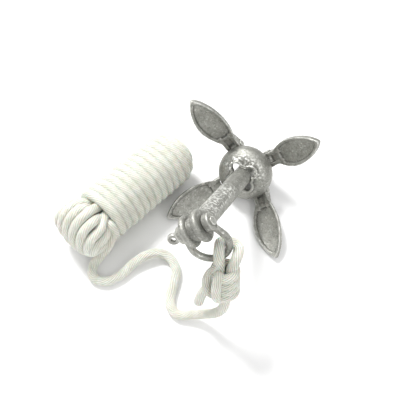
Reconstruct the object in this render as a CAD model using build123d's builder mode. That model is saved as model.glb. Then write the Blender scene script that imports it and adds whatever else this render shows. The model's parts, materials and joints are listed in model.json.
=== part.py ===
"""Folding grapnel anchor with a bow shackle, a knotted braided rope and a rope hank.

The metal pieces are drawn in the anchor's own frame: +Z runs up the shank from the back of
the crown to the eye, and the four flukes stand at 45, 135, 225 and 315 degrees about it.
The anchor is then leaned so that it stands on the crown and its two lower flukes.
The rope is drawn where it lies, in the frame of the surface that everything stands on.
"""

import math
import os

from build123d import *

os.makedirs("parts", exist_ok=True)

# Shank and eye
SHANK_R = 8.0
SHANK_FOOT_Z = 20.0
TENON_R = 4.5
RIVET_R = 6.5
RIVET_H = 1.5
EYE_Z = 162.0
EYE_HALF = 7.5  # half the eye's length along the shackle pin
EYE_R = 8.8
EYE_RIDGE_R = 12.0
EYE_BORE_R = 4.0

# Crown
CROWN_R = 12.6
CROWN_BACK_H = 6.5
HUB_R = 9.6
ARM_THICK = 6.0
PIVOT_R = 23.0  # distance of a fluke's pin from the shank's axis
PIVOT_Z = 22.0
BOSS_R = 5.5

# Flukes
FLUKE_LENGTH = 65.5  # from pin to tip
FLUKE_HALF_WIDTH = 12.0
UPPER_OPEN = 56.3  # degrees between blade and shank
LOWER_OPEN = 48.4
SPOON_R = 24.0  # the blade's cross curvature
BLADE_THICK = 2.6
RIM_EXTRA = 1.5
RIM_WIDTH = 2.4
EAR_THICK = 3.1
EAR_GAP = 0.2
PIN_R = 2.5
PIN_PLAY = 0.08
RIVET_HEAD_R = 3.6

# Collar
COLLAR_Z = 29.8
COLLAR_R = 24.0
COLLAR_WALL = 3.0
COLLAR_TOP = 13.5
COLLAR_LIP = 16.5
COLLAR_BORE_R = 8.6
LOBE_AT = 9.0
LOBE_R = 4.2
LIP_WIDTH = 2.2

# Shackle
EAR_AT = 11.0  # middle of an ear from the middle of the pin
SHACKLE_EAR_R = 6.5
SHACKLE_EAR_THICK = 5.0
SHACKLE_BORE_R = 3.3
WIRE_R = 2.65
BOW_R = 14.0
BOW_AT = 16.0
BOW_ANGLE = 111.0  # degrees between the bow and the way the shank points
SHACKLE_PIN_R = 3.2
COLLAR_PIN_R = 4.8
SPOT_FACE_R = 5.2  # flat seat for the pin's shoulder on each ear
RING_R = 4.6
RING_HOLE_R = 2.0
RING_THICK = 3.0

# Stance and rope
LEAN = 34.8  # degrees that the shank rises from the surface
ROPE_R = 4.0
LOOP_AT = 42.0  # degrees round the bow, from its middle towards the pin's far ear
LOOP_GAP = 0.25  # between the rope and the bow's wire
KNOT_R = 10.4
KNOT_WRAPS = 4
WRAP_PITCH = 6.9
LEG_AT = 4.3  # how far each leg of the loop lies from the knot's axis
KNOT_TOP = Vector(25.4, -70.2, 77.3)
KNOT_DIR = Vector(0.17, -0.38, -0.909).normalized()
LINE_GAP = 0.5  # between the knot and the line below it

# Hank: turns wound round a bundle of bights, lying on the surface
HANK_WAIST = (-100.1, -49.5)
HANK_TURN = 69.0  # degrees from +X to the hank's axis
HANK_R = 25.0
HANK_LENGTH = 107.0
BIGHTS_R = 26.5
BIGHTS_LENGTH = 26.0
WAIST_CHAMFER = 3.0

FLUKE_ANGLES = {"1": 45.0, "2": 135.0, "3": 225.0, "4": 315.0}
OPEN_ANGLE = {"1": UPPER_OPEN, "2": UPPER_OPEN, "3": LOWER_OPEN, "4": LOWER_OPEN}
ROOT2 = math.sqrt(2)

metal = {}  # the metal pieces by name, in the anchor's frame


def keep(builder, name):
    builder.part.label = name
    metal[name] = builder.part


def radial_plane(degrees):
    """A plane through the shank's axis: x points outward at that angle and y up the shank."""
    turn = math.radians(degrees)
    return Plane((0, 0, 0), x_dir=(math.cos(turn), math.sin(turn), 0), z_dir=(math.sin(turn), -math.cos(turn), 0))


# The shackle pin's line through the eye, and the way the bow hangs from it
PIN_DIR = Vector(1, 1, 0) / ROOT2
BOW_TURN = math.radians(BOW_ANGLE)
BOW_DIR = Vector(0, 0, math.cos(BOW_TURN)) + Vector(1, -1, 0) * (math.sin(BOW_TURN) / ROOT2)
eye_across = Plane((0, 0, EYE_Z), x_dir=(0, 0, 1), z_dir=PIN_DIR)
bow_plane = Plane((0, 0, EYE_Z), x_dir=PIN_DIR, z_dir=PIN_DIR.cross(BOW_DIR))

# Shank: a round bar with a ridged eye at the top and a riveted tenon at the foot
with BuildPart() as shank:
    with BuildSketch(Plane.XZ) as bar_outline:
        with BuildLine():
            Polyline(
                (0, -RIVET_H),
                (RIVET_R - 1.5, -RIVET_H),
                (RIVET_R, 0),
                (TENON_R, 0),
                (TENON_R, SHANK_FOOT_Z),
                (SHANK_R, SHANK_FOOT_Z),
                (SHANK_R, EYE_Z - 5),
                (0, EYE_Z - 5),
                close=True,
            )
        make_face()
    revolve(axis=Axis.Z)
    with BuildSketch(eye_across.offset(-EYE_HALF)):
        Circle(EYE_R)
    extrude(amount=2 * EYE_HALF)
    for side in (-1, 1):
        with BuildSketch(bow_plane):
            with BuildLine():
                ridge = ThreePointArc(
                    (side * EYE_HALF, EYE_R - 0.5),
                    (side * (EYE_HALF - 2.2), EYE_RIDGE_R),
                    (side * (EYE_HALF - 4.6), EYE_R - 0.5),
                )
                Polyline(ridge @ 1, (side * (EYE_HALF - 4.6), 5), (side * EYE_HALF, 5), ridge @ 0)
            make_face()
        revolve(axis=Axis((0, 0, EYE_Z), PIN_DIR))
    with BuildSketch(eye_across.offset(-EYE_HALF - 1)):
        Circle(EYE_BORE_R)
    extrude(amount=2 * EYE_HALF + 2, mode=Mode.SUBTRACT)
keep(shank, "shank")

# Crown: a hub with four arms, one between the ears of each fluke
with BuildPart() as crown:
    with BuildSketch(Plane.XY):
        Circle(CROWN_R)
    extrude(amount=CROWN_BACK_H)
    fillet(crown.edges().group_by(Axis.Z)[0], 4)
    with BuildSketch(Plane.XY):
        Circle(HUB_R)
    extrude(amount=SHANK_FOOT_Z)
    for angle in FLUKE_ANGLES.values():
        with BuildSketch(radial_plane(angle)):
            with Locations((PIVOT_R, PIVOT_Z)):
                Circle(BOSS_R)
            with Locations((5, 12)):
                Rectangle(6, 14)
            make_hull()
        extrude(amount=ARM_THICK / 2, both=True)
    with BuildSketch(Plane.XY):
        Circle(TENON_R)
    extrude(amount=SHANK_FOOT_Z, mode=Mode.SUBTRACT)
    for angle in FLUKE_ANGLES.values():
        with BuildSketch(radial_plane(angle)):
            with Locations((PIVOT_R, PIVOT_Z)):
                Circle(PIN_R)
        extrude(amount=ARM_THICK, both=True, mode=Mode.SUBTRACT)
keep(crown, "crown")

# Fluke, in its own frame: +Z from the pin to the tip, +Y along the pin, hollow side towards -X
EAR_Y = ARM_THICK / 2 + EAR_GAP + EAR_THICK / 2


def leaf(inset):
    """The outline of the blade in the YZ plane, drawn in by inset all round."""
    with BuildSketch(Plane.YZ) as outline:
        with BuildLine():
            edge = Spline(
                (6.2 - inset, 12 + inset),
                (9.9 - inset, 22),
                (FLUKE_HALF_WIDTH - inset, 38),
                (8.9 - inset, 53),
                (0.8, FLUKE_LENGTH - 1.7 * inset),
            )
            Line(edge @ 1, (-0.8, FLUKE_LENGTH - 1.7 * inset))
            mirror(edge, about=Plane.YZ)
            Line((inset - 6.2, 12 + inset), edge @ 0)
        make_face()
    return outline.sketch


def spoon(outer_r, inner_r):
    """The cross section of the blade's curved wall."""
    with BuildSketch(Plane.XY.offset(8)) as wall:
        with Locations((-SPOON_R, 0)):
            Circle(outer_r)
            Circle(inner_r, mode=Mode.SUBTRACT)
    return wall.sketch


BACK_R = SPOON_R + BLADE_THICK / 2
FRONT_R = SPOON_R - BLADE_THICK / 2
with BuildPart() as blade:
    extrude(leaf(0), amount=15, dir=(1, 0, 0), both=True)
    extrude(spoon(BACK_R, FRONT_R), amount=FLUKE_LENGTH, mode=Mode.INTERSECT)

with BuildPart() as rim:
    extrude(leaf(0), amount=15, dir=(1, 0, 0), both=True)
    extrude(leaf(RIM_WIDTH), amount=16, dir=(1, 0, 0), both=True, mode=Mode.SUBTRACT)
    extrude(spoon(BACK_R, FRONT_R - RIM_EXTRA), amount=FLUKE_LENGTH, mode=Mode.INTERSECT)

with BuildPart() as fluke:
    add(blade.part)
    add(rim.part)
    for side in (-1, 1):
        with BuildSketch(Plane.XZ.offset(side * EAR_Y)):
            Circle(BOSS_R)
            with Locations((-0.8, 15)):
                Rectangle(5, 8)
            make_hull()
        extrude(amount=EAR_THICK / 2, both=True)
    with BuildSketch(Plane.XZ):
        with Locations((-0.8, 12.6)):
            Rectangle(5, 10)
    extrude(amount=EAR_Y, both=True)
    with BuildSketch(Plane.XZ):
        Circle(PIN_R + PIN_PLAY)
    extrude(amount=2 * EAR_Y, both=True, mode=Mode.SUBTRACT)

for number, angle in FLUKE_ANGLES.items():
    turn = math.radians(angle)
    opened = math.radians(OPEN_ANGLE[number])
    outward = Vector(math.cos(turn), math.sin(turn), 0)
    upward = Vector(0, 0, 1)
    seat = Plane(
        outward * PIVOT_R + upward * PIVOT_Z,
        x_dir=outward * math.cos(opened) - upward * math.sin(opened),
        z_dir=outward * math.sin(opened) + upward * math.cos(opened),
    )
    metal["fluke_" + number] = fluke.part.moved(seat.location)

# Fluke pins, tight in the crown's arms, with a rivet head outside each ear
PIN_HALF = ARM_THICK / 2 + EAR_GAP + EAR_THICK + 0.1
for number, angle in FLUKE_ANGLES.items():
    with BuildPart() as fluke_pin:
        with BuildSketch(radial_plane(angle)):
            with Locations((PIVOT_R, PIVOT_Z)):
                Circle(PIN_R)
        extrude(amount=PIN_HALF, both=True)
        for side in (-1, 1):
            with BuildSketch(radial_plane(angle).offset(side * (PIN_HALF + 0.5))):
                with Locations((PIVOT_R, PIVOT_Z)):
                    Circle(RIVET_HEAD_R)
            extrude(amount=0.5, both=True)
    keep(fluke_pin, "fluke_pin_" + number)


# Collar: a shallow bell that slides on the shank, with a lipped opening of four lobes
def lobes(extra):
    with BuildSketch(Plane.XY.offset(COLLAR_Z)) as opening:
        Circle(COLLAR_BORE_R + extra)
        with PolarLocations(LOBE_AT, 4, start_angle=45):
            Circle(LOBE_R + extra)
    return opening.sketch


with BuildPart() as collar:
    with BuildSketch(Plane.XZ):
        with BuildLine():
            shoulder = ThreePointArc(
                (COLLAR_R, COLLAR_Z + 3.5),
                (COLLAR_R - 2.9, COLLAR_Z + COLLAR_TOP - 3.6),
                (COLLAR_R - 9.0, COLLAR_Z + COLLAR_TOP),
            )
            Polyline(
                shoulder @ 1,
                (5, COLLAR_Z + COLLAR_TOP),
                (5, COLLAR_Z + COLLAR_TOP - COLLAR_WALL),
                (COLLAR_R - 10.5, COLLAR_Z + COLLAR_TOP - COLLAR_WALL),
            )
            ThreePointArc(
                (COLLAR_R - 10.5, COLLAR_Z + COLLAR_TOP - COLLAR_WALL),
                (COLLAR_R - 5.2, COLLAR_Z + COLLAR_TOP - 5.7),
                (COLLAR_R - COLLAR_WALL, COLLAR_Z + 3),
            )
            Polyline(
                (COLLAR_R - COLLAR_WALL, COLLAR_Z + 3),
                (COLLAR_R - COLLAR_WALL, COLLAR_Z),
                (COLLAR_R, COLLAR_Z),
                shoulder @ 0,
            )
        make_face()
    revolve(axis=Axis.Z)
    lip_outline = lobes(LIP_WIDTH).moved(Location((0, 0, COLLAR_TOP - COLLAR_WALL)))
    extrude(lip_outline, amount=COLLAR_LIP - COLLAR_TOP + COLLAR_WALL)
    extrude(lobes(0), amount=COLLAR_LIP + 1, mode=Mode.SUBTRACT)
keep(collar, "collar")

# Shackle bow: two bored ears joined by a round wire, which widens into a ring
LEG_START = 2.0
to_centre = math.hypot(EAR_AT, BOW_AT - LEG_START)
leg_length = math.sqrt(to_centre**2 - BOW_R**2)
leg_angle = math.atan2(BOW_AT - LEG_START, EAR_AT) + math.asin(BOW_R / to_centre)
leg_end_x = EAR_AT - leg_length * math.cos(leg_angle)
leg_end_y = LEG_START + leg_length * math.sin(leg_angle)
with BuildPart() as shackle_bow:
    with BuildLine(bow_plane) as wire:
        Line((-EAR_AT, LEG_START), (-leg_end_x, leg_end_y))
        ThreePointArc((-leg_end_x, leg_end_y), (0, BOW_AT + BOW_R), (leg_end_x, leg_end_y))
        Line((leg_end_x, leg_end_y), (EAR_AT, LEG_START))
    with BuildSketch(Plane(wire.line @ 0, z_dir=wire.line % 0)):
        Circle(WIRE_R)
    sweep()
    for side in (-1, 1):
        with BuildSketch(eye_across.offset(side * EAR_AT)):
            Circle(SHACKLE_EAR_R)
        extrude(amount=SHACKLE_EAR_THICK / 2, both=True)
    with BuildSketch(eye_across):
        Circle(SHACKLE_BORE_R)
    extrude(amount=EAR_AT + SHACKLE_EAR_THICK, both=True, mode=Mode.SUBTRACT)
    for side in (-1, 1):
        with BuildSketch(eye_across.offset(side * (EAR_AT + SHACKLE_EAR_THICK / 2))):
            Circle(SPOT_FACE_R)
        extrude(amount=side * SHACKLE_EAR_THICK, mode=Mode.SUBTRACT)
keep(shackle_bow, "shackle_bow")

# Shackle pin: a round pin with a shoulder and a ring head, which screws into the far ear
PIN_SHOULDER = EAR_AT + SHACKLE_EAR_THICK / 2 + 0.1
RING_AT = PIN_SHOULDER + 5.8
with BuildPart() as shackle_pin:
    with BuildSketch(eye_across.offset(-PIN_SHOULDER)):
        Circle(SHACKLE_PIN_R)
    extrude(amount=2 * PIN_SHOULDER + 1.2)
    with BuildSketch(eye_across.offset(-PIN_SHOULDER - 1.8)):
        Circle(COLLAR_PIN_R)
    extrude(amount=1.8)
    with BuildSketch(bow_plane):
        with Locations((-RING_AT, 0)):
            Circle(RING_R)
    extrude(amount=RING_THICK / 2, both=True)
    with BuildSketch(bow_plane):
        with Locations((-RING_AT, 0)):
            Circle(RING_HOLE_R)
    extrude(amount=RING_THICK, both=True, mode=Mode.SUBTRACT)
keep(shackle_pin, "shackle_pin")

# Stance: lean the anchor, then put the middle of its footprint at the origin
lean = math.radians(LEAN)
leaned = Plane((0, 0, 0), x_dir=(1, 0, 0), z_dir=(0, -math.cos(lean), math.sin(lean))).location
box = Compound([piece.moved(leaned) for piece in metal.values()]).bounding_box()
stance = Location((-box.center().X, -box.center().Y, -box.min.Z)) * leaned
for name, piece in metal.items():
    placed = piece.moved(stance)
    placed.label = name
    export_step(placed, "parts/" + name + ".step")
    print(name, "volume", round(placed.volume), "lowest", round(placed.bounding_box().min.Z, 2))


def in_row(point):
    """A point of the anchor's own frame, in the frame of the surface."""
    return (stance * Location(point)).position


eye = in_row((0, 0, EYE_Z))
pin_dir = in_row(Vector(0, 0, EYE_Z) + PIN_DIR) - eye
bow_dir = in_row(Vector(0, 0, EYE_Z) + BOW_DIR) - eye
bow_normal = pin_dir.cross(bow_dir)
print("size", box.size, "eye", eye, "pin", pin_dir, "bow", bow_dir)
for number, angle in FLUKE_ANGLES.items():
    turn = math.radians(angle)
    pivot = in_row((PIVOT_R * math.cos(turn), PIVOT_R * math.sin(turn), PIVOT_Z))
    tangent = in_row((-math.sin(turn), math.cos(turn), 0)) - in_row((0, 0, 0))
    print("pivot", number, pivot, "tangent", tangent)

rope = {}  # the rope's pieces by name


def cord(name, points):
    """A round tube along straight runs with rounded corners."""
    points = [Vector(point) for point in points]
    bends = []
    for before, corner, after in zip(points, points[1:], points[2:]):
        arriving = corner - before
        leaving = after - corner
        half_turn = math.radians(arriving.get_angle(leaving)) / 2
        bends.append(0.45 * min(arriving.length, leaving.length) / math.tan(half_turn))
    with BuildPart() as piece:
        with BuildLine():
            middle = FilletPolyline(*points, radius=bends)
        with BuildSketch(Plane(middle @ 0, z_dir=middle % 0)):
            Circle(ROPE_R)
        sweep()
    rope[name] = piece.part
    print(name, "length", round(middle.length, 1), "bends", [round(bend, 1) for bend in bends])
    print("  volume", round(piece.part.volume), "section x length", round(math.pi * ROPE_R**2 * middle.length))


# Rope loop: over the bow's wire and back, with both legs in front of it
loop_turn = math.radians(LOOP_AT)
outward = bow_dir * math.cos(loop_turn) + pin_dir * math.sin(loop_turn)
on_wire = eye + bow_dir * BOW_AT + outward * BOW_R
clear = WIRE_R + ROPE_R + LOOP_GAP
knot_side = (outward - KNOT_DIR * outward.dot(KNOT_DIR)).normalized()
cord(
    "rope_loop",
    [
        KNOT_TOP + KNOT_DIR * 2 - knot_side * LEG_AT,
        on_wire - outward * clear - bow_normal * (clear - 1.5),
        on_wire - outward * clear + bow_normal * clear,
        on_wire + outward * clear + bow_normal * clear,
        on_wire + outward * clear - bow_normal * (clear - 1.5),
        KNOT_TOP + KNOT_DIR * 2 + knot_side * LEG_AT,
    ],
)

# Knot: wraps of the rope round its own legs
KNOT_LENGTH = KNOT_WRAPS * WRAP_PITCH
knot_plane = Plane(KNOT_TOP, x_dir=knot_side, z_dir=knot_side.cross(KNOT_DIR))
with BuildPart() as rope_knot:
    with BuildSketch(knot_plane):
        with BuildLine():
            groove = KNOT_R - WRAP_PITCH / 4
            for wrap in range(KNOT_WRAPS):
                start = wrap * WRAP_PITCH
                ThreePointArc((groove, start), (KNOT_R, start + WRAP_PITCH / 2), (groove, start + WRAP_PITCH))
            Polyline((groove, KNOT_LENGTH), (0, KNOT_LENGTH), (0, 0), (groove, 0))
        make_face()
    revolve(axis=Axis(KNOT_TOP, KNOT_DIR))
rope["rope_knot"] = rope_knot.part
cord(
    "rope_bight",
    [
        KNOT_TOP + KNOT_DIR * 5 - knot_side * 6,
        KNOT_TOP + KNOT_DIR * 9 - knot_side * 13,
        KNOT_TOP + KNOT_DIR * 20 - knot_side * 13.5,
        KNOT_TOP + KNOT_DIR * 25 - knot_side * 6,
    ],
)
cord("rope_tail", [(22, -78, 52), (14.5, -79, 48), (11, -82.5, 39), (10.5, -85.5, 30)])

# Line: from the knot, round two loose bends on the surface, to the waist of the hank
knot_bottom = KNOT_TOP + KNOT_DIR * (KNOT_LENGTH + LINE_GAP)
cord(
    "rope_line",
    [
        knot_bottom,
        knot_bottom + KNOT_DIR * 9,
        (28, -85.5, 29),
        (19, -85.5, 16),
        (6.5, -87, 7),
        (-5, -92.5, 4.2),
        (-14.5, -87.5, 4.2),
        (-18.5, -77, 4.2),
        (-19.5, -65.5, 4.2),
        (-22.5, -55, 4.4),
        (-31, -47.5, 5),
        (-41.5, -47, 7),
        (-51, -54.5, 8.5),
        (-58.5, -65, 6),
        (-62.5, -77.5, 4.3),
        (-71, -88.5, 4.2),
        (-84, -90, 4.2),
        (-88.5, -80, 6.5),
        (-83.5, -71, 14),
        (-78.5, -63.5, 22),
        (-80, -54, 25),
    ],
)

def bundle(name, along, radius, length, rounding):
    """A round bundle lying on the surface, from the hank's waist to a rounded end."""
    plane = Plane((*HANK_WAIST, radius), x_dir=along, z_dir=along.cross(Vector(0, 0, 1)))
    with BuildPart() as piece:
        with BuildSketch(plane):
            with BuildLine():
                EllipticalCenterArc((length - rounding, 0), rounding, radius, start_angle=0, arc_size=90)
                Polyline(
                    (length - rounding, radius),
                    (WAIST_CHAMFER, radius),
                    (0, radius - WAIST_CHAMFER),
                    (0, 0),
                    (length, 0),
                )
            make_face()
        revolve(axis=Axis(plane.origin, along))
    rope[name] = piece.part


# Hank: wrapped turns with a rounded far end, and the ends of the bights beyond the last turn
hank_turn = math.radians(HANK_TURN)
hank_dir = Vector(math.cos(hank_turn), math.sin(hank_turn), 0)
bundle("rope_hank", hank_dir, HANK_R, HANK_LENGTH, 20)
bundle("rope_hank_bights", hank_dir * -1, BIGHTS_R, BIGHTS_LENGTH, 19)

for name, piece in rope.items():
    piece.label = name
    export_step(piece, "parts/" + name + ".step")
    print(name, "volume", round(piece.volume), "lowest", round(piece.bounding_box().min.Z, 2))
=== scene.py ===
"""Looks of the folding grapnel anchor: rough galvanised castings and a white braided rope.

Everything is in metres, in the frame of the CAD model. MM turns the millimetres used here into metres.
"""

import json
import math

import bmesh
import bpy
import numpy as np
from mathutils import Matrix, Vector, noise

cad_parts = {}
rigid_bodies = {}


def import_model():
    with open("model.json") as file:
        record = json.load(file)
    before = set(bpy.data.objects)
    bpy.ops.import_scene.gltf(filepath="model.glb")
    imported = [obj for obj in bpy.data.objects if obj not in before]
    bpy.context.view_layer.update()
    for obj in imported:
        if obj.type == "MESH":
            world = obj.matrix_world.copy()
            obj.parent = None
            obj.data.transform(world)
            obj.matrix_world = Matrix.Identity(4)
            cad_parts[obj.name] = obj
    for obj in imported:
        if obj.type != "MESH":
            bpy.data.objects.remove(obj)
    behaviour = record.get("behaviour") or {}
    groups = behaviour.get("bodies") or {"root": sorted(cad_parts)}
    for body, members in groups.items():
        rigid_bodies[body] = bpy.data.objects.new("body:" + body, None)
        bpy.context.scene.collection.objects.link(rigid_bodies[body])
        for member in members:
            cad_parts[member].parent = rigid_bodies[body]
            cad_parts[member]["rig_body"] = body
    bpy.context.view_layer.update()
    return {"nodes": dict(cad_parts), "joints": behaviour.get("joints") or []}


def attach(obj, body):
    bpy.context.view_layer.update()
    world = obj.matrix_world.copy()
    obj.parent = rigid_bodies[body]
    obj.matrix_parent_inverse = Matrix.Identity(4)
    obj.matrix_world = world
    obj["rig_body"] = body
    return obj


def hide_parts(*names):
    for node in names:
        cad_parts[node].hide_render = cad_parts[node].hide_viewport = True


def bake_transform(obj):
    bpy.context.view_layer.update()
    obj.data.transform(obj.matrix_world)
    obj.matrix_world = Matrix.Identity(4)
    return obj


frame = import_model()
MM = 0.001
ROPE_R = 4.0 * MM
UP = Vector((0, 0, 1))
joints = {joint["name"]: joint for joint in frame["joints"]}


# ---------------------------------------------------------------- camera, light and floor
CAMERA_AIM = Vector((-23.3, 13.4, 0)) * MM
CAMERA_DISTANCE = 525.6 * MM
CAMERA_ELEVATION = math.radians(58.4)
CAMERA_YAW = math.radians(22.7)
CAMERA_LENS = 50.6


def add_camera():
    level = Vector((math.sin(CAMERA_YAW), -math.cos(CAMERA_YAW), 0))
    back = level * math.cos(CAMERA_ELEVATION) + UP * math.sin(CAMERA_ELEVATION)
    camera = bpy.data.objects.new("camera", bpy.data.cameras.new("camera"))
    camera.data.lens = CAMERA_LENS
    camera.data.clip_start = 0.01
    camera.location = CAMERA_AIM + back * CAMERA_DISTANCE
    camera.rotation_euler = back.to_track_quat("Z", "Y").to_euler()
    bpy.context.scene.collection.objects.link(camera)
    bpy.context.scene.camera = camera


def add_light(name, place, size, power):
    light = bpy.data.lights.new(name, "AREA")
    light.shape = "DISK"
    light.size = size
    light.energy = power
    holder = bpy.data.objects.new(name, light)
    holder.location = place
    holder.rotation_euler = Vector(place).to_track_quat("Z", "Y").to_euler()
    bpy.context.scene.collection.objects.link(holder)


def add_studio():
    world = bpy.data.worlds.new("studio")
    world.use_nodes = True
    tree = world.node_tree
    place = tree.nodes.new("ShaderNodeSeparateXYZ")
    tree.links.new(tree.nodes.new("ShaderNodeTexCoord").outputs["Generated"], place.inputs[0])
    sky = tree.nodes.new("ShaderNodeValToRGB")
    sky.color_ramp.elements[0].color = (0.62, 0.62, 0.62, 1)
    sky.color_ramp.elements[1].color = (1, 1, 1, 1)
    sky.color_ramp.elements[1].position = 0.75
    tree.links.new(place.outputs["Z"], sky.inputs["Fac"])
    tree.links.new(sky.outputs["Color"], tree.nodes["Background"].inputs["Color"])
    tree.nodes["Background"].inputs["Strength"].default_value = 0.85
    bpy.context.scene.world = world
    bpy.context.scene.view_settings.view_transform = "Standard"
    add_light("key_light", (-0.55, 0.30, 0.9), 0.35, 12)
    add_light("fill_light", (0.9, -0.5, 0.8), 0.7, 4)
    floor_mesh = bmesh.new()
    bmesh.ops.create_grid(floor_mesh, x_segments=1, y_segments=1, size=4)
    floor = bpy.data.objects.new("floor", bpy.data.meshes.new("floor"))
    floor_mesh.to_mesh(floor.data)
    floor_mesh.free()
    floor.data.materials.append(plain_floor())
    bpy.context.scene.collection.objects.link(floor)


# ---------------------------------------------------------------- materials
class Shader:
    """A new material with short helpers for its nodes."""

    def __init__(self, name):
        self.material = bpy.data.materials.new(name)
        self.material.use_nodes = True
        self.tree = self.material.node_tree
        self.surface = self.tree.nodes["Principled BSDF"]

    def node(self, kind, **settings):
        made = self.tree.nodes.new(kind)
        for key, value in settings.items():
            setattr(made, key, value)
        return made

    def link(self, source, target):
        self.tree.links.new(source, target)

    def math(self, operation, first, second=0.0, third=0.0):
        made = self.node("ShaderNodeMath", operation=operation)
        for socket, value in zip(made.inputs, (first, second, third)):
            if isinstance(value, (int, float)):
                socket.default_value = value
            else:
                self.link(value, socket)
        return made.outputs[0]

    def noise(self, scale, detail=2.0, rough=0.5, where=None):
        made = self.node("ShaderNodeTexNoise")
        made.inputs["Scale"].default_value = scale
        made.inputs["Detail"].default_value = detail
        made.inputs["Roughness"].default_value = rough
        if where:
            self.link(where, made.inputs["Vector"])
        return made.outputs["Fac"]

    def ramp(self, value, stops):
        made = self.node("ShaderNodeValToRGB")
        elements = made.color_ramp.elements
        while len(elements) < len(stops):
            elements.new(0.5)
        for element, (place, colour) in zip(elements, stops):
            element.position = place
            element.color = (*colour, 1) if isinstance(colour, tuple) else (colour, colour, colour, 1)
        self.link(value, made.inputs["Fac"])
        return made.outputs["Color"]

    def mix(self, share, first, second, blend="MIX"):
        made = self.node("ShaderNodeMix", data_type="RGBA", blend_type=blend)
        for socket, value in ((made.inputs[0], share), (made.inputs[6], first), (made.inputs[7], second)):
            if isinstance(value, tuple):
                socket.default_value = (*value, 1)
            elif isinstance(value, float):
                socket.default_value = value
            else:
                self.link(value, socket)
        return made.outputs[2]

    def bump(self, height, strength, distance, below=None):
        made = self.node("ShaderNodeBump")
        made.inputs["Strength"].default_value = strength
        made.inputs["Distance"].default_value = distance
        self.link(height, made.inputs["Height"])
        if below:
            self.link(below, made.inputs["Normal"])
        return made.outputs["Normal"]


def plain_floor():
    floor = Shader("plain_floor")
    floor.surface.inputs["Base Color"].default_value = (0.93, 0.93, 0.93, 1)
    floor.surface.inputs["Roughness"].default_value = 0.9
    return floor.material


def galvanised(name, dark, light, grit):
    """Hot-dip zinc: a mottled grey grain with painted glints on its crystals, painted shade in hollows, and
    outer edges lighter from rubbed zinc and a painted highlight.
    """
    zinc = Shader(name)
    where = zinc.node("ShaderNodeTexCoord").outputs["Object"]
    clouds = zinc.noise(70, 5, 0.65, where)
    blotches = zinc.noise(330, 3, 0.6, where)
    grain = zinc.noise(1300, 3, 0.7, where)
    crystals = zinc.node("ShaderNodeTexVoronoi")
    crystals.inputs["Scale"].default_value = 800
    zinc.link(where, crystals.inputs["Vector"])
    # Zinc crystals: their tone varies at random, and their glints are painted into the colour as light spots.
    crystals_and_glint = zinc.ramp(crystals.outputs["Color"], [(0.72, 0.0), (0.95, 1.0)])
    ground = zinc.mix(zinc.ramp(clouds, [(0.35, 0.0), (0.65, 1.0)]), dark, light)
    spotted = zinc.mix(zinc.ramp(blotches, [(0.28, 0.35), (0.46, 0.0)]), ground, (0.045, 0.045, 0.038))
    grained = zinc.mix(zinc.ramp(grain, [(0.30, 0.5), (0.52, 0.0)]), spotted, (0.04, 0.04, 0.035))
    bright = zinc.mix(zinc.math("MULTIPLY", crystals_and_glint, 0.35), grained, (0.80, 0.80, 0.76))
    # Painted shade: the colour darkens in hollows, where the surface bends inwards.
    painted_hollow_shade = zinc.node("ShaderNodeAttribute", attribute_name="painted_hollow_shade").outputs["Fac"]
    hollow_shaded = zinc.mix(zinc.math("MULTIPLY", painted_hollow_shade, 0.5), bright, (0.03, 0.03, 0.026))
    # Outer edges and raised lumps lightened: partly rubbed zinc, partly a painted highlight.
    wear_and_highlight = zinc.node("ShaderNodeAttribute", attribute_name="wear_and_highlight").outputs["Fac"]
    zinc.link(zinc.mix(wear_and_highlight, hollow_shaded, (0.86, 0.86, 0.82)), zinc.surface.inputs["Base Color"])
    shine = zinc.math("SUBTRACT", 0.55, zinc.math("MULTIPLY", crystals_and_glint, 0.2))
    rubbed_shine = zinc.math("SUBTRACT", shine, zinc.math("MULTIPLY", wear_and_highlight, 0.2))
    zinc.link(rubbed_shine, zinc.surface.inputs["Roughness"])
    zinc.surface.inputs["Metallic"].default_value = 0.8
    lumps = zinc.bump(blotches, grit, 0.0008)
    zinc.link(zinc.bump(grain, grit, 0.0003, lumps), zinc.surface.inputs["Normal"])
    return zinc.material


YARNS = 14  # round the rope
YARN_PITCH = 3.8 * MM
CROSSING = 0.25  # how deep the fainter family cuts


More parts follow.
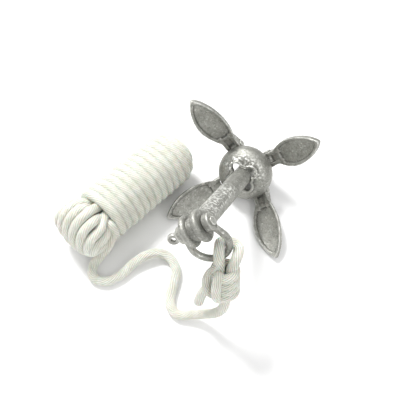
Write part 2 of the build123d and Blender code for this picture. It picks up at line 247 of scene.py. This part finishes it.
def braided(name):
    """White braid: silky yarns that run one way, crossed by a fainter family, with painted shade in the
    grooves between them.
    """
    yarn = Shader(name)
    split = yarn.node("ShaderNodeSeparateXYZ")
    yarn.link(yarn.node("ShaderNodeUVMap", uv_map="rope").outputs["UV"], split.inputs[0])
    around = yarn.math("MULTIPLY", split.outputs[0], YARNS)
    along = yarn.math("DIVIDE", split.outputs[1], YARN_PITCH)
    ridges = []
    for operation in ("ADD", "SUBTRACT"):
        turn = yarn.math(operation, around, along)
        ridges.append(yarn.math("ABSOLUTE", yarn.math("SINE", yarn.math("MULTIPLY", turn, math.pi))))
    main_turn = yarn.math("MULTIPLY", yarn.math("ADD", around, along), 6 * math.pi)
    hair = yarn.math("SINE", main_turn)
    crossing = yarn.math("ADD", 1 - CROSSING, yarn.math("MULTIPLY", ridges[1], CROSSING))
    height = yarn.math("MULTIPLY", ridges[0], crossing)
    where = yarn.node("ShaderNodeTexCoord").outputs["Object"]
    # Painted shade: the colour darkens into the grooves between the yarns and is lighter on their tops.
    groove_shade = yarn.ramp(height, [
        (0.0, (0.50, 0.51, 0.44)), (0.4, (0.72, 0.73, 0.66)), (1.0, (0.84, 0.84, 0.80)),
    ])
    soiled = yarn.ramp(yarn.noise(160, 3, 0.6, where), [(0.35, (0.86, 0.86, 0.80)), (0.65, (1.0, 1.0, 0.98))])
    yarn.link(yarn.mix(1.0, groove_shade, soiled, "MULTIPLY"), yarn.surface.inputs["Base Color"])
    yarn.surface.inputs["Roughness"].default_value = 0.45
    yarn.surface.inputs["Sheen Weight"].default_value = 0.3
    yarn.surface.inputs["Subsurface Weight"].default_value = 0.25
    yarn.surface.inputs["Subsurface Scale"].default_value = 0.002
    strands = yarn.bump(height, 0.7, 0.0007)
    yarn.link(yarn.bump(hair, 0.3, 0.00015, strands), yarn.surface.inputs["Normal"])
    return yarn.material


# ---------------------------------------------------------------- castings
def rough_height(point, lump, grain):
    """How far zinc and casting stand proud at a point, in metres."""
    coarse = noise.noise(point * 170)
    middle = noise.noise(point * 520)
    fine = noise.noise(point * 1300)
    return lump * (coarse + 0.6 * middle) + grain * fine


EDGE_BEND = 220  # per metre: the zinc is lightened, partly by wear and partly as a painted highlight, where the surface bends more than this
EDGE_SPREAD = 500  # per metre: from there to fully bright


def casting(name, body, material, voxel, lump, grain, patch=None):
    """Replaces a CAD node by a rounded, lumpy copy of itself."""
    node = frame["nodes"][name]
    piece = bpy.data.objects.new(name + "_casting", node.data.copy())
    bpy.context.scene.collection.objects.link(piece)
    remesh = piece.modifiers.new("remesh", "REMESH")
    remesh.mode = "VOXEL"
    remesh.voxel_size = voxel
    smooth = piece.modifiers.new("smooth", "SMOOTH")
    smooth.iterations = 3
    bpy.context.view_layer.update()
    evaluated = piece.evaluated_get(bpy.context.evaluated_depsgraph_get())
    mesh = bpy.data.meshes.new_from_object(evaluated)
    piece.modifiers.clear()
    piece.data = mesh
    count = len(mesh.vertices)
    places = np.zeros(count * 3)
    normals = np.zeros(count * 3)
    mesh.vertices.foreach_get("co", places)
    mesh.vertex_normals.foreach_get("vector", normals)
    places = places.reshape(-1, 3)
    normals = normals.reshape(-1, 3)
    edges = np.zeros(len(mesh.edges) * 2, int)
    mesh.edges.foreach_get("vertices", edges)
    edges = edges.reshape(-1, 2)
    bend = surface_bend(places, normals, edges)
    rise = np.array([rough_height(Vector(place), lump, grain) for place in places])
    raised = patch(places, normals) if patch else np.zeros(count)
    rise = rise + raised
    edge_patchiness = np.array([0.5 + noise.noise(Vector(place) * 260) for place in places])
    # Edges and raised lumps get lighter colour: partly wear, partly a painted highlight.
    on_edges = np.clip((bend - EDGE_BEND) / EDGE_SPREAD, 0, 1) * np.clip(edge_patchiness, 0.15, 1) * 0.85
    wear_and_highlight = on_edges + np.clip(raised / GRAIN_HEIGHT, 0, 1) * 0.9
    mesh.vertices.foreach_set("co", (places + normals * rise[:, None]).ravel())
    store(mesh, "wear_and_highlight", np.clip(wear_and_highlight, 0, 1))
    # Painted shade: a mask that darkens the colour in hollows, where the surface bends inwards.
    store(mesh, "painted_hollow_shade", np.clip((-bend - 60) / 350, 0, 1))
    mesh.polygons.foreach_set("use_smooth", [True] * len(mesh.polygons))
    mesh.materials.clear()
    mesh.materials.append(material)
    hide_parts(name)
    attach(piece, body)
    return piece


def surface_bend(places, normals, edges):
    """How sharply the surface bends at each point, per metre: above 0 on outer edges, below 0 in hollows."""
    degree = np.zeros(len(places))
    bend = np.zeros(len(places))
    step = places[edges[:, 1]] - places[edges[:, 0]]
    turn = normals[edges[:, 1]] - normals[edges[:, 0]]
    share = (step * turn).sum(1) / np.maximum((step * step).sum(1), 1e-12)
    for end in (0, 1):
        np.add.at(bend, edges[:, end], share)
        np.add.at(degree, edges[:, end], 1)
    bend = bend / np.maximum(degree, 1)
    for _ in range(3):
        total = bend.copy()
        for end in (0, 1):
            np.add.at(total, edges[:, end], bend[edges[:, 1 - end]])
        bend = total / (1 + degree)
    return bend


def store(mesh, name, values):
    layer = mesh.attributes.new(name, "FLOAT", "POINT")
    layer.data.foreach_set("value", values.astype(np.float32))


def add_castings():
    cast = galvanised("galvanised_casting", (0.29, 0.29, 0.262), (0.43, 0.43, 0.395), 0.45)
    steel = galvanised("galvanised_steel", (0.32, 0.32, 0.29), (0.47, 0.47, 0.43), 0.3)
    for name, node in frame["nodes"].items():
        if name.startswith("rope_"):
            continue
        body = node["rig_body"]
        if name.startswith(("fluke_pin", "shackle")):
            casting(name, body, steel, 0.4 * MM, 0.04 * MM, 0.04 * MM)
        elif name == "shank":
            casting(name, body, cast, 0.5 * MM, 0.08 * MM, 0.07 * MM, shank_patch)
        elif name == "collar":
            casting(name, body, cast, 0.5 * MM, 0.08 * MM, 0.07 * MM, collar_patch)
        else:
            casting(name, body, cast, 0.5 * MM, 0.10 * MM, 0.08 * MM)


EYE = Vector(joints["shackle_swing"]["pos_m"])
SHANK_DIR = Vector(joints["collar_slide"]["axis"])
SHANK_OUT = Vector((0, SHANK_DIR.z, -SHANK_DIR.y))  # square to the shank, away from the floor
GRAIN_HEIGHT = 0.35 * MM  # low enough for the collar to slide over it
GRAIN_SCALE = 560  # noise cells per metre


def shank_patch(places, normals):
    """A raised field of casting lumps along the upper side of the shank, which casting() lightens with wear
    and a painted highlight.
    """
    from_eye = places - np.array(EYE)
    along = -(from_eye @ np.array(SHANK_DIR))
    facing = normals @ np.array(SHANK_OUT)
    field = np.clip((along - 14 * MM) / (4 * MM), 0, 1) * np.clip((78 * MM - along) / (8 * MM), 0, 1)
    field = field * np.clip((facing - 0.5) / 0.25, 0, 1)
    lumps = np.array([noise.noise(Vector(place) * GRAIN_SCALE) for place in places])
    return field * np.clip(lumps, 0, 0.35) * GRAIN_HEIGHT / 0.35


def collar_patch(places, normals):
    """Coarse grains of zinc round the lobed opening, thickest on its far side."""
    from_eye = places - np.array(EYE)
    along = from_eye @ np.array(SHANK_DIR)
    off_axis = np.linalg.norm(from_eye - along[:, None] * np.array(SHANK_DIR), axis=1)
    far_side = np.clip((from_eye @ np.array(SHANK_OUT)) / (5 * MM), 0, 1)
    facing = np.clip((normals @ np.array(SHANK_DIR)) * 2, 0, 1)
    field = np.clip((21 * MM - off_axis) / (5 * MM), 0, 1) * facing
    lumps = np.array([noise.noise(Vector(place) * GRAIN_SCALE) for place in places])
    return field * far_side * np.clip(lumps, 0, 0.35) * GRAIN_HEIGHT / 0.35


# ---------------------------------------------------------------- rope
def spline_points(name, points, resolution):
    """The points of a smooth NURBS line that these control points guide."""
    curve = bpy.data.curves.new(name, "CURVE")
    curve.dimensions = "3D"
    curve.resolution_u = resolution
    spline = curve.splines.new("NURBS")
    spline.points.add(len(points) - 1)
    for target, point in zip(spline.points, points):
        target.co = (*point, 1)
    spline.order_u = 3
    spline.use_endpoint_u = True
    holder = bpy.data.objects.new(name, curve)
    mesh = bpy.data.meshes.new_from_object(holder)
    line = np.array([vertex.co for vertex in mesh.vertices], float)
    bpy.data.meshes.remove(mesh)
    bpy.data.objects.remove(holder)
    bpy.data.curves.remove(curve)
    return line


def even_steps(line, step):
    """The line with its points about one step apart."""
    lengths = np.linalg.norm(np.diff(line, axis=0), axis=1)
    along = np.concatenate([[0], np.cumsum(lengths)])
    wanted = np.linspace(0, along[-1], max(2, round(along[-1] / step) + 1))
    return np.stack([np.interp(wanted, along, line[:, axis]) for axis in range(3)], axis=1), along[-1]


def braid_height(around, along):
    """The same yarns as the material, from 0 between them to 1 on top."""
    turn = around * YARNS
    pass_by = along / YARN_PITCH
    main = np.abs(np.sin((turn + pass_by) * math.pi))
    return main * (1 - CROSSING + CROSSING * np.abs(np.sin((turn - pass_by) * math.pi)))


def rope_tube(name, line, material, sides, step, depth=0.3 * MM, radius=ROPE_R, pinch=(0, 0)):
    """A braided rope along a line, with closed ends drawn in over the pinch lengths."""
    points, total = even_steps(line, step)
    count = len(points)
    tangents = np.gradient(points, axis=0)
    tangents /= np.linalg.norm(tangents, axis=1)[:, None]
    side = np.cross(tangents[0], (0.3, 0.2, 0.93))
    side /= np.linalg.norm(side)
    sides_of = [side]
    for tangent in tangents[1:]:
        side = side - tangent * side.dot(tangent)
        side = side / np.linalg.norm(side)
        sides_of.append(side)
    across = np.array(sides_of)
    third = np.cross(tangents, across)
    turn = np.arange(sides) / sides
    along = np.linspace(0, total, count)
    thick = radius - depth * (1 - braid_height(turn[None, :], along[:, None]))
    for length, distance in zip(pinch, (along, total - along)):
        if length:
            ratio = np.clip(1 - distance / length, 0, 1)
            thick = thick * np.sqrt(1 - 0.9 * ratio**2)[:, None]
    angle = turn * 2 * math.pi
    ring = (
        np.cos(angle)[None, :, None] * across[:, None, :]
        + np.sin(angle)[None, :, None] * third[:, None, :]
    )
    places = points[:, None, :] + ring * thick[:, :, None]
    vertices = [*map(tuple, places.reshape(-1, 3)), tuple(points[0]), tuple(points[-1])]
    row = np.arange(count - 1)[:, None] * sides
    here = np.arange(sides)[None, :]
    after = (here + 1) % sides
    quads = np.stack([row + here, row + after, row + sides + after, row + sides + here], axis=-1)
    quads = quads.reshape(-1, 4)
    last = (count - 1) * sides
    caps = [(after[0, i], i, len(vertices) - 2) for i in range(sides)]
    caps += [(last + i, last + after[0, i], len(vertices) - 1) for i in range(sides)]
    mesh = bpy.data.meshes.new(name)
    mesh.from_pydata(vertices, [], [*map(tuple, quads.tolist()), *[tuple(map(int, cap)) for cap in caps]])
    mesh.polygons.foreach_set("use_smooth", [True] * len(mesh.polygons))
    layer = mesh.uv_layers.new(name="rope")
    across_face = np.stack([here[0], here[0] + 1, here[0] + 1, here[0]], axis=-1) / sides
    u = np.broadcast_to(across_face, (count - 1, sides, 4))
    low = np.broadcast_to(along[:-1, None], (count - 1, sides))
    high = np.broadcast_to(along[1:, None], (count - 1, sides))
    v = np.stack([low, low, high, high], axis=-1)
    coordinates = np.stack([u, v], axis=-1).reshape(-1, 2)
    cap_uv = np.zeros((len(caps) * 3, 2))
    layer.data.foreach_set("uv", np.concatenate([coordinates, cap_uv]).ravel())
    mesh.materials.append(material)
    piece = bpy.data.objects.new(name, mesh)
    bpy.context.scene.collection.objects.link(piece)
    return piece, points, total


# The rope's route from the knot to the hank's waist, as the CAD model has it
KNOT_TOP = Vector((25.4, -70.2, 77.3)) * MM
KNOT_DIR = Vector((0.17, -0.38, -0.909)).normalized()
KNOT_LENGTH = 27.6 * MM
BOW_AT = 16 * MM
BOW_R = 14 * MM
BOW_TURN = math.radians(111)  # between the bow and the way the shank points
LOOP_TURN = math.radians(42)  # round the bow from its middle
CLEAR = 6.9 * MM  # rope's middle to the wire's middle
PIN_DIR = Vector(joints["shackle_swing"]["axis"])
BOW_DIR = SHANK_DIR * math.cos(BOW_TURN) + PIN_DIR.cross(SHANK_DIR) * math.sin(BOW_TURN)
BOW_NORMAL = PIN_DIR.cross(BOW_DIR)
OUTWARD = BOW_DIR * math.cos(LOOP_TURN) + PIN_DIR * math.sin(LOOP_TURN)
ON_WIRE = EYE + BOW_DIR * BOW_AT + OUTWARD * BOW_R
KNOT_SIDE = (OUTWARD - KNOT_DIR * OUTWARD.dot(KNOT_DIR)).normalized()
KNOT_FRONT = KNOT_SIDE.cross(KNOT_DIR)
if KNOT_FRONT.dot(BOW_NORMAL) > 0:
    KNOT_FRONT = -KNOT_FRONT
KNOT_BOTTOM = KNOT_TOP + KNOT_DIR * (KNOT_LENGTH + 0.5 * MM)
FLOOR_ROUTE = [
    (28, -85.5, 29), (19, -85.5, 16), (6.5, -87, 7), (-5, -92.5, 4.2), (-14.5, -87.5, 4.2), (-18.5, -77, 4.2),
    (-19.5, -65.5, 4.2), (-22.5, -55, 4.4), (-31, -47.5, 5), (-41.5, -47, 7), (-51, -54.5, 8.5),
    (-58.5, -65, 6),
    (-62.5, -77.5, 4.3), (-71, -88.5, 4.2), (-84, -90, 4.2), (-88.5, -80, 6.5), (-83.5, -71, 14),
    (-78.5, -63.5, 22), (-80, -54, 25),
]


def knot_point(down, side, front):
    """A point by how far it lies down the knot, to its side and to its front, in millimetres."""
    return KNOT_TOP + (KNOT_DIR * down + KNOT_SIDE * side + KNOT_FRONT * front) * MM


def add_line(yarn):
    """The loop over the bow, the strand through the knot and the loose line to the hank: one rope."""
    forward = CLEAR - 1.5 * MM
    route = [
        knot_point(12, -4.3, 0),
        knot_point(2, -4.3, 0),
        ON_WIRE - OUTWARD * CLEAR - BOW_NORMAL * forward,
        ON_WIRE - OUTWARD * CLEAR + BOW_NORMAL * CLEAR,
        ON_WIRE + OUTWARD * CLEAR + BOW_NORMAL * CLEAR,
        ON_WIRE + OUTWARD * CLEAR - BOW_NORMAL * forward,
        knot_point(2, 4.3, 0),
        knot_point(14, 3, 0),
        KNOT_BOTTOM,
        KNOT_BOTTOM + KNOT_DIR * 9 * MM,
        *[Vector(point) * MM for point in FLOOR_ROUTE],
    ]
    line = spline_points("line_route", route, 12)
    piece, points, total = rope_tube("mooring_line", line, yarn, 70, 0.6 * MM, 0.35 * MM)
    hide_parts("rope_loop", "rope_line")
    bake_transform(piece)
    return piece, points, total


def add_knot(yarn):
    """Wraps round the legs, the strand along their front, the bight at the side and the cut tail."""
    turns = 4.1
    steps = 14
    wraps = []
    for index in range(round(turns * steps) + 1):
        angle = 2 * math.pi * index / steps + 2.4
        down = 1.2 + 23.2 * index / (steps * turns)
        reach = 7.0 / 0.966
        wraps.append(knot_point(down, reach * math.cos(angle), reach * math.sin(angle)))
    pieces = []
    for name, route, radius in (
        ("knot_wraps", wraps, 3.7 * MM),
        ("knot_strand", [
            knot_point(3, -3.5, 4), knot_point(4.5, -4.5, 8), knot_point(8, -5.5, 10.2),
            knot_point(14, -6, 10.8),
            knot_point(20, -6, 10.2), knot_point(25.5, -4.5, 7), knot_point(27, -2, 2),
        ], 3.6 * MM),
        ("knot_bight", [
            knot_point(3, -4, 0), knot_point(4, -9.5, 1), knot_point(11, -13, 2), knot_point(18, -13.5, 2.5),
            knot_point(25, -10.5, 2.5), knot_point(25.5, -4, 1),
        ], 3.8 * MM),
    ):
        line = spline_points(name + "_route", route, 10)
        piece, _, _ = rope_tube(name, line, yarn, 70, 0.6 * MM, 0.35 * MM, radius, (1 * MM, 1 * MM))
        pieces.append(piece)
    tail_at = ((22, -78, 52), (14.5, -79, 48), (11, -82.5, 39), (10.5, -85.5, 30))
    tail_route = [Vector(point) * MM for point in tail_at]
    line = spline_points("tail_route", tail_route, 10)
    tail, _, _ = rope_tube("cut_tail", line, yarn, 70, 0.6 * MM, 0.35 * MM, ROPE_R, (0, 1.2 * MM))
    pieces.append(tail)
    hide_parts("rope_knot")
    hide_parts("rope_bight")
    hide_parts("rope_tail")
    for piece in pieces:
        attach(piece, "shackle")
    return pieces


# The hank, by how far along its axis from the waist, across, and up from its middle, in millimetres
HANK_WAIST = Vector((-100.1, -49.5, 0)) * MM
HANK_TURN = math.radians(69)
HANK_DIR = Vector((math.cos(HANK_TURN), math.sin(HANK_TURN), 0))
HANK_ACROSS = HANK_DIR.cross(UP)
WRAP_AT = 20.8  # radius of the wraps' middle line
WRAP_PITCH = 7.0
WRAP_STEPS = 16
DOME_START = 87.0
DOME_LENGTH = 15.5
BULGE_R = 22.2
CORE_R = 13.0
INNER_R = 5.4


def hank_point(along, across, up, middle=25.0):
    return HANK_WAIST + (HANK_DIR * along + HANK_ACROSS * across + UP * (up + middle)) * MM


def core_place(slot, ring):
    angle = math.radians(slot)
    return ring * math.cos(angle), ring * math.sin(angle)


def hank_loops():
    """Eight long loops side by side, each over the rounded near end and back inside the wraps."""
    across_at = (21.8, 18.2, 11.6, 3.9, -3.9, -11.6, -18.2, -21.8)
    top = (
        (18, CORE_R), (54, CORE_R), (30, INNER_R), (90, CORE_R),
        (90, INNER_R), (150, INNER_R), (126, CORE_R), (162, CORE_R),
    )
    bottom = tuple((-slot, ring) for slot, ring in top)
    route = []
    for across, above, below in zip(across_at, top, bottom):
        height = math.sqrt(BULGE_R**2 - across**2)
        reach = 14.5 * math.sqrt(1 - (across / 32) ** 2)
        top_across, top_up = core_place(*above)
        low_across, low_up = core_place(*below)
        route += [
            hank_point(83, top_across, top_up),
            hank_point(45, top_across, top_up),
            hank_point(9, top_across, top_up),
            hank_point(0.5, (across + top_across) / 2, (height + top_up) / 2 + 1.0, 25.8),
            hank_point(-5.5, across, height, 26.4),
        ]
        for step in range(1, 6):
            angle = math.pi * step / 6
            bow_out = reach * math.sin(angle) / math.cos(math.pi / 6)
            route.append(hank_point(-8.5 - bow_out, across, height * math.cos(angle) * 1.08, 26.4))
        route += [
            hank_point(-5.5, across, -height, 26.4),
            hank_point(0.5, (across + low_across) / 2, (low_up - height) / 2 - 1.0, 25.8),
            hank_point(9, low_across, low_up),
            hank_point(45, low_across, low_up),
            hank_point(83, low_across, low_up),
        ]
    return route


DOME_SLANT = 0.72  # how far the rounded end has turned, in radians, after one dome length
DOME_TURN = 1.32  # where the turns stop closing over the end


def hank_wraps():
    """Turns from the waist to the far end, where they close over it and the cut end is tucked in."""
    route = []
    turned = 0.0
    along = 4.2
    while True:
        if along < DOME_START:
            radius = WRAP_AT
            step_along = WRAP_PITCH / WRAP_STEPS
            place = along
        else:
            lean = (along - DOME_START) / DOME_LENGTH * DOME_SLANT
            if lean > DOME_TURN:
                break
            radius = WRAP_AT * math.cos(lean)
            place = DOME_START + DOME_LENGTH * math.sin(lean)
            step_along = WRAP_PITCH / WRAP_STEPS * DOME_LENGTH / DOME_SLANT / math.hypot(
                WRAP_AT * math.sin(lean), DOME_LENGTH * math.cos(lean)
            )
        angle = 2 * math.pi * turned / WRAP_STEPS - 0.6
        loose = 0.35 * math.sin(angle * 0.37) + 0.25 * math.sin(angle * 1.31)
        reach = (radius + loose) / math.cos(math.pi / WRAP_STEPS)
        route.append(hank_point(place, reach * math.cos(angle), -reach * math.sin(angle)))
        turned += 1
        along += step_along
    tip = DOME_START + DOME_LENGTH
    route.append(hank_point(tip, 3 * math.cos(angle + 0.8), -3 * math.sin(angle + 0.8)))
    route += [hank_point(tip - 3, 0, 0), hank_point(tip - 7, 0, 0), hank_point(tip - 11, 0, 0)]
    return route


def add_hank(yarn):
    """The rest of the rope: it enters at the waist, is laid in loops, and is wound back over them."""
    entry = [Vector((-80, -54, 25)) * MM, hank_point(8, 14, 6), hank_point(40, 12, 4)]
    wraps = hank_wraps()
    leave = [hank_point(45, -8, -8), hank_point(9, 0, -10)]
    route = entry + hank_loops() + leave + wraps
    line = spline_points("hank_route", route, 6)
    piece, points, total = rope_tube("rope_hank_turns", line, yarn, 28, 0.9 * MM, 0.0)
    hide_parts("rope_hank", "rope_hank_bights")
    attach(piece, "root")
    return piece, points, total


def add_rope():
    yarn = braided("braided_rope")
    line, line_path, line_length = add_line(yarn)
    knot = add_knot(yarn)
    hank, hank_path, hank_length = add_hank(yarn)
    print("rope lengths", round(line_length, 4), round(hank_length, 4))


add_camera()
add_studio()
add_castings()
add_rope()
bpy.context.view_layer.update()
